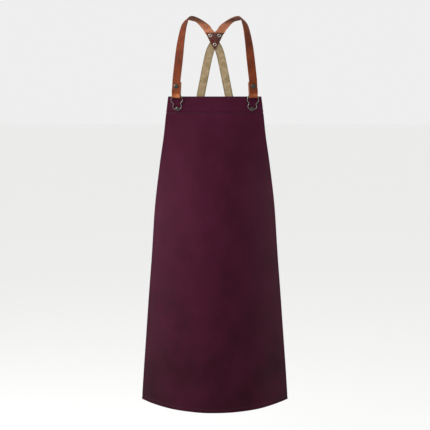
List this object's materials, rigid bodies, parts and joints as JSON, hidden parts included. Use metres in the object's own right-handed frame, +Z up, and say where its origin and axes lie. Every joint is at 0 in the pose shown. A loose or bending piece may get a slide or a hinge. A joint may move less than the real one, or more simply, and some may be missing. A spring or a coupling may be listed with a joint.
{
  "type": "cross-back butcher apron",
  "caption": "Full-length burgundy butcher apron with leather shoulder straps on dungaree clips, a riveted cross patch and webbing back straps.",
  "frame": {"origin": "midway between the two shoulder crests, on the underside of the straps", "axes": "+Z up, the apron's front faces -Y, +X is the viewer's right"},
  "size_m": [0.471, 0.2519, 1.2171],
  "materials": {
    "canvas": "matt, smooth coated weave",
    "tan_leather": "satin, vegetable tanned",
    "brown_leather": "satin",
    "khaki_webbing": "woven cotton webbing",
    "nickel_wire": "nickel plated spring wire",
    "nickel": "nickel plated pressings",
    "gunmetal": "dark gunmetal plating"
  },
  "bodies": {
    "apron": {"apron_panel": "canvas", "bib_facing": "canvas", "left_bib_button": "gunmetal", "left_button_tack": "nickel", "left_front_strap": "tan_leather", "left_rivet_cap": "nickel", "left_rivet_eye": "nickel", "left_side_strap": "khaki_webbing", "left_snap_cap": "gunmetal", "left_snap_socket": "nickel", "left_strap_ring": "nickel_wire", "left_webbing": "khaki_webbing", "lower_rivet_cap": "nickel", "lower_rivet_eye": "nickel", "patch_inner": "brown_leather", "patch_outer": "brown_leather", "right_bib_button": "gunmetal", "right_button_tack": "nickel", "right_front_strap": "tan_leather", "right_rivet_cap": "nickel", "right_rivet_eye": "nickel", "right_side_strap": "khaki_webbing", "right_snap_cap": "gunmetal", "right_snap_socket": "nickel", "right_strap_ring": "nickel_wire", "right_webbing": "khaki_webbing"},
    "left_tail": {"left_strap_tail": "tan_leather", "left_snap_stud": "nickel", "left_snap_post": "nickel"},
    "left_hook": {"left_clip": "nickel_wire"},
    "left_adjuster": {"left_slider": "nickel", "left_webbing_return": "khaki_webbing"},
    "right_tail": {"right_strap_tail": "tan_leather", "right_snap_stud": "nickel", "right_snap_post": "nickel"},
    "right_hook": {"right_clip": "nickel_wire"},
    "right_adjuster": {"right_slider": "nickel", "right_webbing_return": "khaki_webbing"}
  },
  "joints": [
    {"name": "left_tail_open", "type": "hinge", "parent": "apron", "child": "left_tail", "pos_m": [-0.11364, -0.1049, -0.2371], "axis": [-0.959, 0.2785, 0.0523], "range_deg": [0, 70]},
    {"name": "left_clip_sway", "type": "hinge", "parent": "apron", "child": "left_hook", "pos_m": [-0.11537, -0.11085, -0.2371], "axis": [0.2512, 0.9627, 0.1004], "range_deg": [-3, 3]},
    {"name": "left_strap_adjust", "type": "slide", "parent": "apron", "child": "left_adjuster", "axis": [0.1957, -0.0636, 0.9786], "range_m": [0, 0.045]},
    {"name": "right_tail_open", "type": "hinge", "parent": "apron", "child": "right_tail", "pos_m": [0.11364, -0.1049, -0.2371], "axis": [-0.959, -0.2785, -0.0523], "range_deg": [0, 70]},
    {"name": "right_clip_sway", "type": "hinge", "parent": "apron", "child": "right_hook", "pos_m": [0.11537, -0.11085, -0.2371], "axis": [-0.2512, 0.9627, 0.1004], "range_deg": [-3, 3]},
    {"name": "right_strap_adjust", "type": "slide", "parent": "apron", "child": "right_adjuster", "axis": [-0.1957, -0.0636, 0.9786], "range_m": [0, 0.045]}
  ]
}
